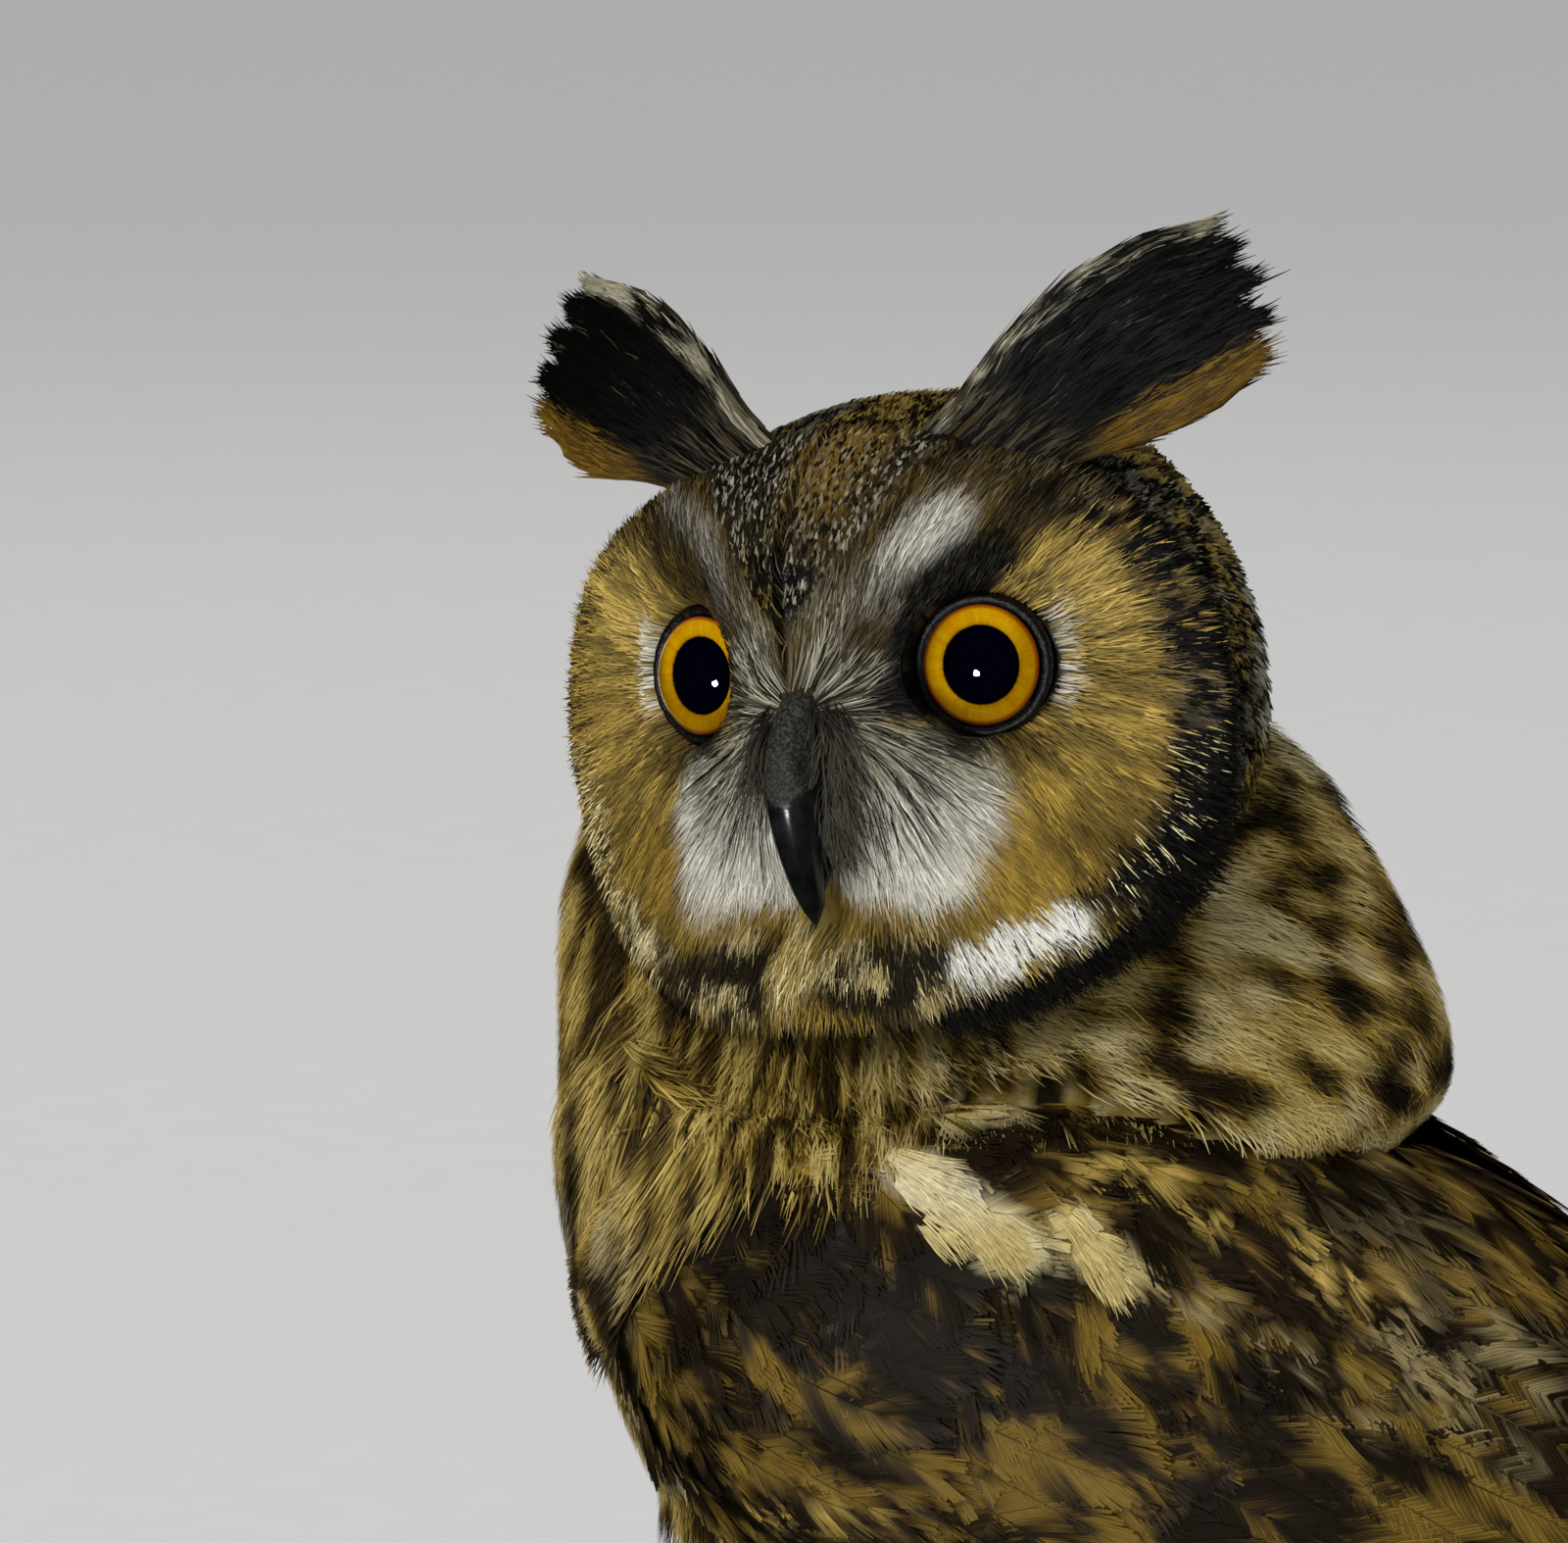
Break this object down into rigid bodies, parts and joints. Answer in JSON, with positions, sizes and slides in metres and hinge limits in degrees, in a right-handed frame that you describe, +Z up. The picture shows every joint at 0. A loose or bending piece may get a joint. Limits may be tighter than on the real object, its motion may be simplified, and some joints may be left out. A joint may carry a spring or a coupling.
{
  "type": "long eared owl",
  "caption": "Life-size standing long-eared owl with raised ear tufts, folded wings and the head turned to its left.",
  "frame": {"origin": "on the floor, below the middle of the bird's bounding box", "axes": "+Z up, the body heads towards -Y, the bird's left side is +X"},
  "size_m": [0.1184, 0.2564, 0.2829],
  "materials": {
    "face": "soft facial plumage",
    "neck": "soft streaked plumage",
    "torso": "soft streaked plumage",
    "wing": "mottled feathers",
    "tail": "barred feathers",
    "tuft": "dark feathers",
    "leg": "short down",
    "foot": "short down",
    "bill": "glossy horn",
    "claw": "glossy horn",
    "eye": "wet and clear"
  },
  "bodies": {
    "root": {"head": "face", "neck": "neck", "torso": "torso", "bill_upper": "bill", "bill_lower": "bill", "eye_left": "eye", "eye_right": "eye", "ear_tuft_left": "tuft", "ear_tuft_right": "tuft", "wing_left": "wing", "wing_right": "wing", "tail": "tail", "leg_left": "leg", "leg_right": "leg", "foot_left": "foot", "foot_right": "foot", "claw_inner_left": "claw", "claw_inner_right": "claw", "claw_middle_left": "claw", "claw_middle_right": "claw", "claw_outer_left": "claw", "claw_outer_right": "claw", "claw_hind_left": "claw", "claw_hind_right": "claw"}
  },
  "joints": []
}
